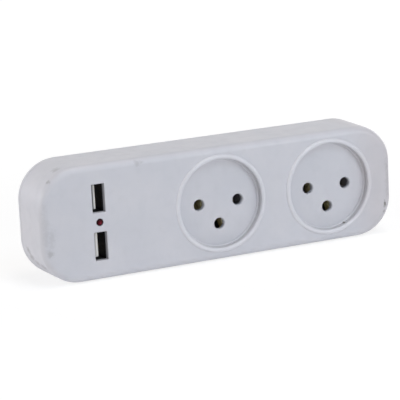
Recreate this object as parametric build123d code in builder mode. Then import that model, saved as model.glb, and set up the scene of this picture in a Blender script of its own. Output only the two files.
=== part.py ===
"""Wall-plug adapter with two round-pin sockets and two USB charging ports.

Millimetres, +Z up. The bar lies along X, its front faces -Y and the plug pins point along +Y.
The origin is on the plug axis, in the face that seats on the wall socket. Heights are measured
from that face towards the front, so a height h lies at Y = -h.
"""

from build123d import *
import os

os.makedirs("parts", exist_ok=True)

# Round pins and the holes that take them
pin_spacing = 19.0  # line to neutral
earth_drop = 9.5  # earth below the line to neutral line
pin_diameter = 4.5
pin_length = 19.0
pin_tip_radius = 1.5
pin_root = 5.4  # thicker inside the plug boss
hole_diameter = 5.0
hole_chamfer = 0.35

# Layout along the bar; the first socket lies on the plug axis
socket_spacing = 54.3
usb_offset = 57.6  # plug axis to the column of USB ports and lamp, on the left
usb_spacing = 20.9
left_margin = 27.0  # USB column to the left end
right_margin = 32.8  # second socket to the right end

# Housing
body_width = 51.5
corner_radius = 17.6
front_depth = 23.0  # parting line to front face
rear_depth = 5.0  # rear face to parting line
boss_height = 4.0
boss_diameter = 36.0
boss_edge_radius = 1.0
draft = 1.4
rear_draft = 2.0
front_radius = 3.0
rear_radius = 3.5
side_wall = 2.2
front_wall = 2.4
rear_wall = 2.0
seam = 0.3  # bevel on both sides of the parting line
lip_height = 1.5
lip_thickness = 0.95
clearance = 0.15  # between moulded pieces that nest

# Socket recesses
recess_diameter = 39.6
recess_depth = 2.6
recess_corner = 0.8
floor_thickness = 2.2
bead_width = 2.1
bead_height = 0.8
rib = 1.2

# Housing screws
screw_inset_x = 10.0  # from each end of the body
screw_inset_z = 12.0  # from its long sides
strip_gap = 0.6  # earth strip to the bosses of the pair between the sockets
boss_outer = 7.0
pilot_diameter = 2.6
pilot_depth = 11.0
screw_length = 12.0
screw_hole = 3.3
head_diameter = 5.6
head_height = 2.0
counterbore_depth = 3.0
thread_clearance = 0.05

# Contact strips and plug pins
sheet = 0.7
clip_width = 4.5
bar_rise = 4.6  # pin axis to the strip
leaf_gap = 4.2  # between a pair of leaves where they grip
leaf_root = 3.3  # pin axis to the inside of a leaf at its root
leaf_straight = 1.6
leaf_tail = 3.2
leaf_flare = 2.8
contact_setback = 1.2  # socket floor to the front contacts
pole_gap = 3.5  # between the neutral and line strips, front to back
pocket_clearance = 0.4
tail_width = 5.0
tab_width = 7.0
tab_reach = 3.5
rivet_diameter = 3.0
rivet_head = 4.6
rivet_height = 0.8
flange_diameter = 7.5
flange_height = 1.2
pad_diameter = 9.0
pad_height = 2.6
lug_length = 3.5

# USB ports
port_width = 5.12
port_height = 12.5
port_corner = 0.4
shell_sheet = 0.3
shell_length = 11.9  # board to mouth
mouth_gap = 0.1  # mouth to the inside of the front wall
mouth_bevel = 0.15
shell_side_gap = 0.25  # shell to the long sides of its pocket
shell_end_gap = 0.1
window_side = 0.46  # port to the long sides of its window
leg_width = 2.4
leg_length = 2.4
tongue_thickness = 1.84
tongue_width = 10.3
tongue_offset = 0.94
tongue_setback = 1.0
tongue_bevel = 0.45
block_height = 4.4
contact_pitch = 2.0
outer_contact_pitch = 7.0
contact_width = 1.0
contact_sheet = 0.25
contact_end = 1.0

# USB power board and what stands on it
board_thickness = 1.6
board_margin = 11.6  # USB column to the board's left edge
board_gap = 4.2  # board to the socket recess, and to the side walls
post_inset = 3.0
post_diameter = 5.0
rest_width = 2.0  # rib of the rear cover that backs the board behind the ports
board_screw = 1.7
board_screw_length = 6.0
board_screw_head = 3.8
board_head_height = 1.3
lead_diameter = 1.8
lead_bend = 2.0
lamp_diameter = 3.0
lamp_flange = 3.8
lamp_flange_height = 1.0
lamp_length = 5.3
lamp_proud = 0.6
lamp_lead = 0.5
lamp_lead_spacing = 2.54

# Transformer and the other parts on the board
transformer_offset = 15.0  # USB column to the transformer
core_width = 13.3
core_height = 12.4
core_depth = 6.0
core_leg = 2.75  # centre leg, twice an outer one
core_yoke = 1.7
bobbin_wall = 0.6
rail_width = 3.3
winding_depth = 10.0
winding_lift = 0.4  # board to the winding
output_offset = 9.2  # USB column to the output capacitors
output_inset = 5.6  # from the long edges of the board
output_diameter = 6.3
output_height = 9.0
mains_inset = 4.6  # board's right edge to the mains capacitor and the rectifier
mains_diameter = 8.0
mains_height = 10.5
mains_z = 2.5
can_groove = 0.4
rectifier_z = -7.5
rectifier_size = (6.4, 8.0, 3.2)
chip_size = (5.0, 4.0, 1.5)
chip_leg_pitch = 1.27
chip_leg = (0.4, 1.0, 0.25)
small_inset_z = 6.2  # long edges of the board to the resistor and the disc capacitor
resistor_offset = 19.0  # USB column to the resistor
resistor_length = 8.0
resistor_diameter = 3.2
resistor_lead = 0.7
resistor_span = 11.0
disc_offset = 18.4  # USB column to the disc capacitor
disc_diameter = 8.0
disc_thickness = 3.0
line_lead_z = 12.0
neutral_lead_z = 9.5
lead_inset = 2.0  # board's right edge to the leads
lead_drop = 4.5  # board to the line lead behind it
solder_gap = 0.05  # under the end of a lead

# Places worked out from the sizes above
usb_x = -usb_offset
left_end = usb_x - left_margin
right_end = socket_spacing + right_margin
body_length = right_end - left_end
body_centre = (left_end + right_end) / 2
sockets = (0.0, socket_spacing)
usb_ports = {"upper": usb_spacing / 2, "lower": -usb_spacing / 2}
poles = {
    "line": (pin_spacing / 2, 0.0),
    "neutral": (-pin_spacing / 2, 0.0),
    "earth": (0.0, -earth_drop),
}
pin_holes = [(x + px, pz) for x in sockets for px, pz in poles.values()]

rear_face = boss_height
rear_inner = rear_face + rear_wall
parting = rear_face + rear_depth
front_face = parting + front_depth
front_inner = front_face - front_wall
recess_floor = front_face - recess_depth
floor_inner = recess_floor - floor_thickness
well_diameter = recess_diameter + 2 * side_wall

screw_x = body_length / 2 - screw_inset_x
screw_z = body_width / 2 - screw_inset_z
middle_z = earth_drop + bar_rise + sheet + strip_gap + boss_outer / 2
screws = [(body_centre + sx * screw_x, sz * screw_z) for sx in (-1, 1) for sz in (-1, 1)]
screws += [(socket_spacing / 2, sz * middle_z) for sz in (-1, 1)]
screw_seat = rear_face + counterbore_depth

contact_front = floor_inner - contact_setback
strip_front = {
    "line": contact_front - clip_width - pole_gap,
    "neutral": contact_front,
    "earth": contact_front,
}
pad_top = rear_inner - pad_height + flange_height + pocket_clearance
flange_top = pad_top + flange_height

mouth = front_inner - mouth_gap
board_front = mouth - shell_length
board_rear = board_front - board_thickness
board_left = usb_x - board_margin
board_right = -well_diameter / 2 - board_gap
board_length = board_right - board_left
board_centre = (board_left + board_right) / 2
board_width = body_width - 2 * (side_wall + board_gap)
post_x = board_length / 2 - post_inset
post_z = board_width / 2 - post_inset
posts = [(board_centre + sx * post_x, sz * post_z) for sx in (-1, 1) for sz in (-1, 1)]
shell_width = port_width + 2 * shell_sheet
shell_height = port_height + 2 * shell_sheet
rest_length = usb_spacing + tongue_width


def level(height):
    """The plane that faces the front at this height, with X to the right and Z up."""
    return Plane.XZ.offset(height)


def body_outline(inset, mode=Mode.ADD):
    """The rounded outline of the housing, moved inwards by the inset."""
    with Locations((body_centre, 0)):
        RectangleRounded(
            body_length - 2 * inset, body_width - 2 * inset, corner_radius - inset, mode=mode
        )


def save(part, name):
    """Label a finished piece and write it out."""
    part.label = name
    export_step(part, f"parts/{name}.step")


# Front cover: a drafted box with two beaded recesses
with BuildPart() as front_cover:
    with BuildSketch(level(parting)):
        body_outline(0)
    extrude(amount=front_depth, taper=draft)
    fillet(front_cover.faces().sort_by(Axis.Y)[0].edges(), front_radius)
    chamfer(front_cover.faces().sort_by(Axis.Y)[-1].edges(), seam)
    with BuildSketch(level(parting)):
        body_outline(side_wall)
    extrude(amount=front_depth - front_wall, taper=draft, mode=Mode.SUBTRACT)
    with BuildSketch(level(parting)):
        body_outline(side_wall - lip_thickness - clearance)
    extrude(amount=lip_height + clearance, mode=Mode.SUBTRACT)

    # Wells behind the recesses, then the recesses, their beads and the pin holes
    with BuildSketch(level(floor_inner)):
        with Locations(*[(x, 0) for x in sockets]):
            Circle(well_diameter / 2)
    extrude(amount=front_inner - floor_inner)
    for x in sockets:
        inner = recess_diameter / 2
        with BuildSketch(Plane((x, 0, 0))):
            with BuildLine():
                Polyline(
                    (0, -front_face),
                    (0, -recess_floor),
                    (inner - recess_corner, -recess_floor),
                )
                RadiusArc(
                    (inner - recess_corner, -recess_floor),
                    (inner, -recess_floor - recess_corner),
                    -recess_corner,
                )
                Polyline(
                    (inner, -recess_floor - recess_corner),
                    (inner, -front_face),
                    (0, -front_face),
                )
            make_face()
        revolve(axis=Axis((x, 0, 0), (0, 1, 0)), mode=Mode.SUBTRACT)
        with BuildSketch(Plane((x, 0, 0))):
            with BuildLine():
                ThreePointArc(
                    (inner, -front_face),
                    (inner + bead_width / 2, -front_face - bead_height),
                    (inner + bead_width, -front_face),
                )
                Line((inner + bead_width, -front_face), (inner, -front_face))
            make_face()
        revolve(axis=Axis((x, 0, 0), (0, 1, 0)))
    with BuildSketch(level(recess_floor)):
        with Locations(*pin_holes):
            Circle(hole_diameter / 2)
    extrude(amount=-floor_thickness, mode=Mode.SUBTRACT)
    hole_edges = front_cover.edges().filter_by(GeomType.CIRCLE)
    hole_edges = hole_edges.filter_by(lambda e: abs(e.radius - hole_diameter / 2) < 0.01)
    chamfer(hole_edges.group_by(Axis.Y)[0], hole_chamfer)

    # Pockets that keep the contact clips apart, open towards their strips
    for pole, (px, pz) in poles.items():
        side = -1 if pole == "earth" else 1
        clip_half = leaf_root + sheet + pocket_clearance
        clip_end = leaf_tail + pocket_clearance
        open_end = bar_rise - pocket_clearance
        pocket_back = strip_front[pole] - clip_width - pocket_clearance
        with BuildSketch(level(floor_inner)):
            for x in sockets:
                with Locations((x + px, pz + side * (open_end - clip_end - rib) / 2)):
                    Rectangle(2 * (clip_half + rib), open_end + clip_end + rib)
                with Locations((x + px, pz + side * (open_end - clip_end) / 2)):
                    Rectangle(2 * clip_half, open_end + clip_end, mode=Mode.SUBTRACT)
        extrude(amount=pocket_back - floor_inner)

    # Bosses for the housing screws and posts for the board
    with BuildSketch(level(parting)):
        with Locations(*screws):
            Circle(boss_outer / 2)
    extrude(amount=front_inner - parting)
    with BuildSketch(level(parting)):
        with Locations(*screws):
            Circle(pilot_diameter / 2)
    extrude(amount=pilot_depth, mode=Mode.SUBTRACT)
    with BuildSketch(level(board_front)):
        with Locations(*posts):
            Circle(post_diameter / 2)
    extrude(amount=front_inner - board_front)
    with BuildSketch(level(board_front)):
        with Locations(*posts):
            Circle(board_screw / 2 + thread_clearance)
    extrude(amount=board_screw_length, mode=Mode.SUBTRACT)

    # Pockets that hold the USB shells behind their windows, and the lamp hole with its collar
    pocket_width = shell_width + 2 * shell_side_gap
    pocket_height = shell_height + 2 * shell_end_gap
    pocket_corner = port_corner + shell_sheet + shell_end_gap
    ports = [(usb_x, z) for z in usb_ports.values()]
    lamp_hole = lamp_diameter + 2 * clearance
    with BuildSketch(level(front_inner)):
        with Locations(*ports):
            RectangleRounded(
                pocket_width + 2 * rib, pocket_height + 2 * rib, pocket_corner + rib
            )
            RectangleRounded(pocket_width, pocket_height, pocket_corner, mode=Mode.SUBTRACT)
    extrude(amount=-front_wall)
    with BuildSketch(level(front_inner)):
        with Locations((usb_x, 0)):
            Circle(lamp_hole / 2 + rib)
    lamp_base = front_face + lamp_proud - lamp_length
    extrude(amount=lamp_base + lamp_flange_height + clearance - front_inner)
    with BuildSketch(level(front_face)):
        with Locations(*ports):
            RectangleRounded(port_width + 2 * window_side, port_height, port_corner)
    extrude(amount=-front_wall, mode=Mode.SUBTRACT)
    with BuildSketch(level(front_face)):
        with Locations((usb_x, 0)):
            Circle(lamp_hole / 2)
    extrude(amount=-2 * front_wall, mode=Mode.SUBTRACT)
save(front_cover.part, "front_cover")

# Rear cover: a shallow tray with a nesting lip, screw towers and the plug boss
with BuildPart() as rear_cover:
    with BuildSketch(level(parting)):
        body_outline(0)
    extrude(amount=-rear_depth, taper=rear_draft)
    rear_edges = rear_cover.faces().sort_by(Axis.Y)[-1].edges()
    fillet(rear_edges, min(rear_radius, rear_depth - rear_wall / 2))
    chamfer(rear_cover.faces().sort_by(Axis.Y)[0].edges(), seam)
    with BuildSketch(level(parting)):
        body_outline(side_wall)
    extrude(amount=rear_inner - parting, taper=rear_draft, mode=Mode.SUBTRACT)
    with BuildSketch(level(parting)):
        body_outline(side_wall - lip_thickness)
        body_outline(side_wall, mode=Mode.SUBTRACT)
    extrude(amount=lip_height)

    # Plug boss, hollow inside, with a pad under each pin
    with BuildSketch(level(rear_face)):
        Circle(boss_diameter / 2)
    extrude(amount=-boss_height)
    fillet(rear_cover.faces().sort_by(Axis.Y)[-1].edges(), boss_edge_radius)
    with BuildSketch(level(rear_inner)):
        Circle(boss_diameter / 2 - side_wall)
    extrude(amount=rear_wall + clearance - rear_inner, mode=Mode.SUBTRACT)
    with BuildSketch(level(pad_top)):
        with Locations(*poles.values()):
            Circle(pad_diameter / 2)
    extrude(amount=rear_wall - pad_top)
    with BuildSketch(level(pad_top)):
        with Locations(*poles.values()):
            Circle(pin_root / 2 + thread_clearance)
    extrude(amount=-pad_top, mode=Mode.SUBTRACT)

    # Rib that backs the board when a plug is pushed into a port, then the screw towers
    with BuildSketch(level(rear_inner)):
        with Locations((usb_x, 0)):
            Rectangle(rest_width, rest_length)
    extrude(amount=board_rear - clearance - rear_inner)
    with BuildSketch(level(parting)):
        with Locations(*screws):
            Circle(boss_outer / 2)
    extrude(amount=rear_inner - parting)
    with BuildSketch(level(parting)):
        with Locations(*screws):
            Circle(screw_hole / 2)
    extrude(amount=-rear_depth, mode=Mode.SUBTRACT)
    with BuildSketch(level(screw_seat)):
        with Locations(*screws):
            Circle(head_diameter / 2 + 2 * clearance)
    extrude(amount=-counterbore_depth, mode=Mode.SUBTRACT)
save(rear_cover.part, "rear_cover")

# Housing screws, heads sunk below the rear face
with BuildPart() as cover_screws:
    with BuildSketch(level(screw_seat)):
        with Locations(*screws):
            Circle(head_diameter / 2)
    extrude(amount=-head_height)
    with BuildSketch(level(screw_seat)):
        with Locations(*screws):
            Circle(pilot_diameter / 2 - thread_clearance)
    extrude(amount=screw_length)
save(cover_screws.part, "cover_screws")

# Plug pins, each turned with a flange that bears on its pad and a rivet that holds its strip
for pole, (px, pz) in poles.items():
    with BuildPart() as plug_pin:
        with BuildSketch(level(0)):
            with Locations((px, pz)):
                Circle(pin_diameter / 2)
        extrude(amount=-pin_length)
        fillet(plug_pin.faces().sort_by(Axis.Y)[-1].edges(), pin_tip_radius)
        with BuildSketch(level(0)):
            with Locations((px, pz)):
                Circle(pin_root / 2)
        extrude(amount=pad_top)
        with BuildSketch(level(pad_top)):
            with Locations((px, pz)):
                Circle(flange_diameter / 2)
        extrude(amount=flange_height)
        with BuildSketch(level(flange_top)):
            with Locations((px, pz)):
                Circle(rivet_diameter / 2)
        extrude(amount=sheet)
        with BuildSketch(level(flange_top + sheet)):
            with Locations((px, pz)):
                Circle(rivet_head / 2)
        extrude(amount=rivet_height)
    save(plug_pin.part, f"{pole}_pin")

# Contact strips: one folded sheet per pole, with a pair of spring leaves at each socket
for pole, (px, pz) in poles.items():
    side = -1 if pole == "earth" else 1
    lug = 0 if pole == "earth" else lug_length
    near = pz + side * bar_rise
    far = near + side * sheet
    front = strip_front[pole]
    back = front - clip_width
    reach = leaf_root + sheet
    with BuildPart() as busbar:
        with BuildSketch(level(front)):
            with BuildLine():
                Polyline(
                    (px - reach - lug, near),
                    (socket_spacing + px + reach, near),
                    (socket_spacing + px + reach, far),
                    (px - reach - lug, far),
                    close=True,
                )
            make_face()
            for x in sockets:
                for hand in (-1, 1):
                    middle = x + px
                    bend = near - side * leaf_straight
                    end = pz - side * leaf_tail
                    with BuildLine():
                        Polyline(
                            (middle + hand * leaf_root, near),
                            (middle + hand * leaf_root, bend),
                            (middle + hand * leaf_gap / 2, pz),
                            (middle + hand * leaf_flare, end),
                            (middle + hand * (leaf_flare + sheet), end),
                            (middle + hand * (leaf_gap / 2 + sheet), pz),
                            (middle + hand * reach, bend),
                            (middle + hand * reach, near),
                            close=True,
                        )
                    make_face()
        extrude(amount=-clip_width)
        with BuildSketch(Plane.YZ.offset(px - tail_width / 2)):
            with BuildLine():
                Polyline(
                    (-back, near),
                    (-flange_top - sheet, near),
                    (-flange_top - sheet, pz),
                    (-flange_top, pz),
                    (-flange_top, far),
                    (-back, far),
                    close=True,
                )
            make_face()
        extrude(amount=tail_width)
        fold = busbar.edges().filter_by(Axis.X).sort_by(Axis.Y)[-2:]
        fillet(fold.sort_by(Axis.Z)[-1 if side > 0 else 0], sheet)
        with BuildSketch(level(flange_top)):
            with Locations((px, pz)):
                SlotOverall(2 * tab_reach + tab_width / 2, tab_width, rotation=90)
                Circle(rivet_diameter / 2 + thread_clearance, mode=Mode.SUBTRACT)
        extrude(amount=sheet)
        with BuildSketch(level(flange_top)):
            with Locations((px, pz)):
                Circle(rivet_diameter / 2 + thread_clearance)
        extrude(amount=sheet, mode=Mode.SUBTRACT)
    save(busbar.part, f"{pole}_busbar")

# USB power board with its screw holes and the slots for the shell legs
with BuildPart() as usb_board:
    with BuildSketch(level(board_front)):
        with Locations((board_centre, 0)):
            Rectangle(board_length, board_width)
        with Locations(*posts):
            Circle(board_screw / 2 + clearance, mode=Mode.SUBTRACT)
        for z in usb_ports.values():
            for hand in (-1, 1):
                with Locations((usb_x + hand * (shell_width - shell_sheet) / 2, z)):
                    Rectangle(
                        shell_sheet + 2 * clearance,
                        leg_width + 2 * clearance,
                        mode=Mode.SUBTRACT,
                    )
    extrude(amount=-board_thickness)
save(usb_board.part, "usb_board")

with BuildPart() as board_screws:
    with BuildSketch(level(board_rear)):
        with Locations(*posts):
            Circle(board_screw_head / 2)
    extrude(amount=-board_head_height)
    with BuildSketch(level(board_rear)):
        with Locations(*posts):
            Circle(board_screw / 2)
    extrude(amount=board_screw_length)
save(board_screws.part, "board_screws")

# USB receptacles
for name, z in usb_ports.items():
    block_top = board_front + block_height
    tongue_x = usb_x - tongue_offset
    contact_face = tongue_x + tongue_thickness / 2
    with BuildPart() as usb_shell:
        with BuildSketch(level(board_front)):
            with Locations((usb_x, z)):
                RectangleRounded(shell_width, shell_height, port_corner + shell_sheet)
        extrude(amount=shell_length)
        with BuildSketch(level(board_front)):
            with Locations((usb_x, z)):
                RectangleRounded(port_width, port_height, port_corner)
        extrude(amount=shell_length, mode=Mode.SUBTRACT)
        mouth_face = usb_shell.faces().sort_by(Axis.Y)[0]
        chamfer(mouth_face.inner_wires()[0].edges(), mouth_bevel)
        with BuildSketch(level(board_front)):
            for hand in (-1, 1):
                with Locations((usb_x + hand * (shell_width - shell_sheet) / 2, z)):
                    Rectangle(shell_sheet, leg_width)
        extrude(amount=-leg_length)
    save(usb_shell.part, f"{name}_usb_shell")

    with BuildPart() as usb_tongue:
        with BuildSketch(level(board_front)):
            with Locations((usb_x, z)):
                Rectangle(port_width - 2 * clearance, port_height - 2 * clearance)
        extrude(amount=block_height)
        with BuildSketch(level(block_top)):
            with Locations((tongue_x, z)):
                Rectangle(tongue_thickness, tongue_width)
        extrude(amount=shell_length - block_height - tongue_setback)
        tip_face = usb_tongue.faces().sort_by(Axis.Y)[0]
        chamfer(tip_face.edges().filter_by(Axis.Z), tongue_bevel)
    save(usb_tongue.part, f"{name}_usb_tongue")

    with BuildPart() as usb_contacts:
        with BuildSketch(level(block_top)):
            with Locations((contact_face + contact_sheet / 2, z)):
                with GridLocations(0, contact_pitch, 1, 2):
                    Rectangle(contact_sheet, contact_width)
                with GridLocations(0, outer_contact_pitch, 1, 2):
                    Rectangle(contact_sheet, contact_width)
        extrude(amount=shell_length - block_height - tongue_setback - contact_end)
    save(usb_contacts.part, f"{name}_usb_contacts")

# Power lamp: a domed lens on a flange, standing on two long leads
with BuildPart() as power_led:
    with BuildSketch(level(lamp_base)):
        with Locations((usb_x, 0)):
            Circle(lamp_flange / 2)
    extrude(amount=lamp_flange_height)
    with BuildSketch(level(lamp_base)):
        with Locations((usb_x, 0)):
            Circle(lamp_diameter / 2)
    extrude(amount=lamp_length)
    fillet(power_led.faces().sort_by(Axis.Y)[0].edges(), lamp_diameter / 2 - thread_clearance)
save(power_led.part, "power_led")

with BuildPart() as led_leads:
    with BuildSketch(level(board_front)):
        with Locations((usb_x, 0)):
            with GridLocations(0, lamp_lead_spacing, 1, 2):
                Rectangle(lamp_lead, lamp_lead)
    extrude(amount=lamp_base - board_front)
save(led_leads.part, "led_leads")

# Transformer: a ferrite core with two windows, a bobbin on its centre leg and the winding
transformer_x = usb_x + transformer_offset
core_middle = board_front + winding_lift + winding_depth / 2
window_x = (core_width - 2 * core_leg) / 2
window_z = core_height - 2 * core_yoke
window_shift = (core_leg + window_x) / 2
flange_x = core_leg + 2 * window_x - 2 * clearance
flange_z = window_z - 2 * clearance
with BuildPart() as transformer_core:
    with BuildSketch(level(core_middle - core_depth / 2)):
        with Locations((transformer_x, 0)):
            Rectangle(core_width, core_height)
            with GridLocations(2 * window_shift, 0, 2, 1):
                Rectangle(window_x, window_z, mode=Mode.SUBTRACT)
    extrude(amount=core_depth)
save(transformer_core.part, "transformer_core")

tube_x = core_leg + 2 * (clearance + bobbin_wall)
tube_y = core_depth + 2 * (clearance + bobbin_wall)
bobbin_plane = Plane((transformer_x, -core_middle, 0))
with BuildPart() as transformer_bobbin:
    with BuildSketch(bobbin_plane.offset(-flange_z / 2)):
        Rectangle(tube_x, tube_y)
    extrude(amount=flange_z)
    for end in (-1, 1):
        with BuildSketch(bobbin_plane.offset(end * flange_z / 2)):
            Rectangle(flange_x, winding_depth)
        extrude(amount=-end * bobbin_wall)
    with BuildSketch(bobbin_plane.offset(-flange_z / 2)):
        Rectangle(core_leg + 2 * clearance, core_depth + 2 * clearance)
    extrude(amount=flange_z, mode=Mode.SUBTRACT)
    rail_top = core_middle - core_depth / 2 - clearance
    rail_z = flange_z / 2 - bobbin_wall + rail_width / 2
    with BuildSketch(level(board_front)):
        with Locations((transformer_x, -rail_z), (transformer_x, rail_z)):
            Rectangle(core_width, rail_width)
    extrude(amount=rail_top - board_front)
save(transformer_bobbin.part, "transformer_bobbin")

with BuildPart() as transformer_winding:
    winding_length = flange_z - 2 * bobbin_wall
    with BuildSketch(bobbin_plane.offset(-winding_length / 2)):
        RectangleRounded(
            flange_x - 2 * clearance, winding_depth - 2 * clearance, core_leg / 2
        )
        Rectangle(tube_x, tube_y, mode=Mode.SUBTRACT)
    extrude(amount=winding_length)
save(transformer_winding.part, "transformer_winding")

# Electrolytic capacitors: cans with a crimp groove near the board and a rolled top edge
mains_x = board_right - mains_inset
output_z = board_width / 2 - output_inset
cans = {
    "mains_capacitor": [(mains_x, mains_z, mains_diameter, mains_height)],
    "output_capacitors": [
        (usb_x + output_offset, z, output_diameter, output_height) for z in (output_z, -output_z)
    ],
}
for name, places in cans.items():
    with BuildPart() as can:
        for x, z, diameter, height in places:
            radius = diameter / 2
            groove = board_front + 4 * can_groove
            with BuildSketch(Plane((x, 0, z))):
                with BuildLine():
                    Polyline(
                        (0, -board_front),
                        (radius, -board_front),
                        (radius, -groove + can_groove),
                        (radius - can_groove, -groove),
                        (radius, -groove - can_groove),
                        (radius, -board_front - height + can_groove),
                        (radius - can_groove, -board_front - height),
                        (0, -board_front - height),
                        close=True,
                    )
                make_face()
            revolve(axis=Axis((x, 0, z), (0, 1, 0)))
    save(can.part, name)

with BuildPart() as bridge_rectifier:
    width, length, height = rectifier_size
    with BuildSketch(level(board_front)):
        with Locations((mains_x, rectifier_z)):
            Rectangle(width, length)
    extrude(amount=height)
    chamfer(bridge_rectifier.faces().sort_by(Axis.Y)[0].edges(), can_groove)
save(bridge_rectifier.part, "bridge_rectifier")

# Controller chip on the back of the board, four legs on each side
with BuildPart() as controller_chip:
    length, width, height = chip_size
    leg_x, leg_z, leg_y = chip_leg
    with BuildSketch(level(board_rear - leg_y)):
        with Locations((transformer_x, 0)):
            Rectangle(length, width)
    extrude(amount=leg_y - height)
    with BuildSketch(level(board_rear)):
        with Locations((transformer_x, 0)):
            with GridLocations(chip_leg_pitch, width + leg_z, 4, 2):
                Rectangle(leg_x, 2 * leg_z)
    extrude(amount=-2 * leg_y)
save(controller_chip.part, "controller_chip")

# Fusible resistor lying along the board, its leads bent down to it
with BuildPart() as fuse_resistor:
    resistor_x = usb_x + resistor_offset
    resistor_z = board_width / 2 - small_inset_z
    resistor_axis = board_front + resistor_diameter / 2 + clearance
    with BuildSketch(Plane.YZ.offset(resistor_x - resistor_length / 2)):
        with Locations((-resistor_axis, resistor_z)):
            Circle(resistor_diameter / 2)
    extrude(amount=resistor_length)
    fillet(fuse_resistor.edges().filter_by(GeomType.CIRCLE), resistor_lead)
    with BuildSketch(Plane.XY.offset(resistor_z - resistor_lead / 2)):
        with Locations((resistor_x, -resistor_axis)):
            Rectangle(resistor_span, resistor_lead)
        with Locations((resistor_x, -(resistor_axis + board_front) / 2)):
            with GridLocations(resistor_span - resistor_lead, 0, 2, 1):
                Rectangle(resistor_lead, resistor_axis - board_front)
    extrude(amount=resistor_lead)
save(fuse_resistor.part, "fuse_resistor")

with BuildPart() as disc_capacitor:
    disc_z = -(board_width / 2 - small_inset_z)
    with BuildSketch(Plane.XY.offset(disc_z - disc_thickness / 2)):
        with Locations((usb_x + disc_offset, -board_front - disc_diameter / 2 - clearance)):
            Circle(disc_diameter / 2)
    extrude(amount=disc_thickness)
    fillet(disc_capacitor.edges().filter_by(GeomType.CIRCLE), disc_thickness / 3)
save(disc_capacitor.part, "disc_capacitor")

# Insulated leads from the strips to the board
lead_x = board_right - lead_inset
strip_far = bar_rise + sheet
routes = {}
for pole in ("neutral", "line"):
    start_x = poles[pole][0] - leaf_root - sheet - lug_length / 2
    start_h = strip_front[pole] - clip_width / 2
    if pole == "neutral":
        routes[pole] = [
            (start_x, -start_h, strip_far),
            (start_x, -start_h, neutral_lead_z),
            (lead_x, -start_h, neutral_lead_z),
            (lead_x, -board_front - solder_gap, neutral_lead_z),
        ]
    else:
        routes[pole] = [
            (start_x, -start_h, strip_far),
            (start_x, -start_h, line_lead_z),
            (board_right + lead_bend, -board_rear + lead_drop, line_lead_z),
            (lead_x, -board_rear + lead_drop, line_lead_z),
            (lead_x, -board_rear + solder_gap, line_lead_z),
        ]
for pole, points in routes.items():
    with BuildPart() as lead:
        with BuildLine() as path:
            FilletPolyline(*points, radius=lead_bend)
        with BuildSketch(Plane(origin=path.line @ 0, z_dir=path.line % 0)):
            Circle(lead_diameter / 2)
        sweep(path=path.line)
    save(lead.part, f"{pole}_lead")
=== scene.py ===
# %% [markdown]
# A wall-plug adapter: a long rounded housing in white ABS with two round-pin sockets, two USB charging
# ports and a small red lamp. The solids arrive packed from the CAD source, in metres, and they keep their
# places. This file gives them finishes, a camera and light, and models the screws and the lamp more finely.

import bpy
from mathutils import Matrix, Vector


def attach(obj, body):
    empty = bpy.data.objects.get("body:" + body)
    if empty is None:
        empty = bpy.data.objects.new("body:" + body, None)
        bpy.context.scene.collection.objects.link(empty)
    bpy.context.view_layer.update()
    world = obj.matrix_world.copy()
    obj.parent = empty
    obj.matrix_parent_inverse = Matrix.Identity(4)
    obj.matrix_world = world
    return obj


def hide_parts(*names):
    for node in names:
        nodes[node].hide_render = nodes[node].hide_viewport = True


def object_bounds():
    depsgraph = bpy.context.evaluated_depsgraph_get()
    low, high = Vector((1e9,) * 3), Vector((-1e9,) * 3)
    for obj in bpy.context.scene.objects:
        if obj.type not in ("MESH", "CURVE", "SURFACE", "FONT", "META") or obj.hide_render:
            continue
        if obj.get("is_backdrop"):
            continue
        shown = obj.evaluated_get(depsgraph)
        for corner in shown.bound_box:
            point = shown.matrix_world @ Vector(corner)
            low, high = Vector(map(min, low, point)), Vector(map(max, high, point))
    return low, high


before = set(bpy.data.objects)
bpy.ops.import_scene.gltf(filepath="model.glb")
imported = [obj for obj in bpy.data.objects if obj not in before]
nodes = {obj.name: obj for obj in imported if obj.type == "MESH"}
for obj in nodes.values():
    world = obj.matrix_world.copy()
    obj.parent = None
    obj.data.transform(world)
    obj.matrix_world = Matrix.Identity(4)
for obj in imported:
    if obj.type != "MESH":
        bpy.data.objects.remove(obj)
cad_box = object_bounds()
print("nodes:", len(nodes))

# %% [markdown]
# Sizes below are in millimetres, as on a drawing, while the frame is in metres, so one factor stands
# between the two. Shapes are worked out with numpy as whole arrays, and bpy puts them into Blender.

# %% Tools
import math

import bpy
import numpy as np
from mathutils import Matrix, Vector

MM = 0.001
print("Blender", bpy.app.version_string)

# %% [markdown]
# The camera stands where the photographer stood. Its place and turns were worked out by matching the pin
# holes, the ports and the outline to the picture, so they are plain numbers here. A long lens keeps the far
# end of the bar nearly as tall as the near end.

# %% Camera
camera_place = (-352.62, -760.98, 181.98)  # mm
camera_yaw, camera_pitch, camera_roll = 25.164, -12.531, -2.975  # degrees
sensor_width, camera_lens = 36.0, 170.75  # mm

camera_data = bpy.data.cameras.new("camera")
camera_data.sensor_width = sensor_width
camera_data.lens = camera_lens
camera = bpy.data.objects.new("camera", camera_data)
bpy.context.scene.collection.objects.link(camera)
turn = (
    Matrix.Rotation(math.radians(-camera_yaw), 3, "Z")
    @ Matrix.Rotation(math.radians(90 + camera_pitch), 3, "X")
    @ Matrix.Rotation(math.radians(camera_roll), 3, "Z")
)
camera.matrix_world = Matrix.LocRotScale(Vector(camera_place) * MM, turn, None)
bpy.context.scene.camera = camera
bpy.context.scene.view_settings.view_transform = "Standard"
print("camera lens:", camera_data.lens)

# %% [markdown]
# Every finish below is a small graph of nodes. One function turns a colour as a designer writes it into the
# linear light that Blender works with, and one adds a node with its settings and its links. Patterns are
# laid out in millimetres, so that a scale of one over a size gives marks of about that size. A Mix node
# keeps sockets for several kinds of data, and its colours are known by number.

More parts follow.
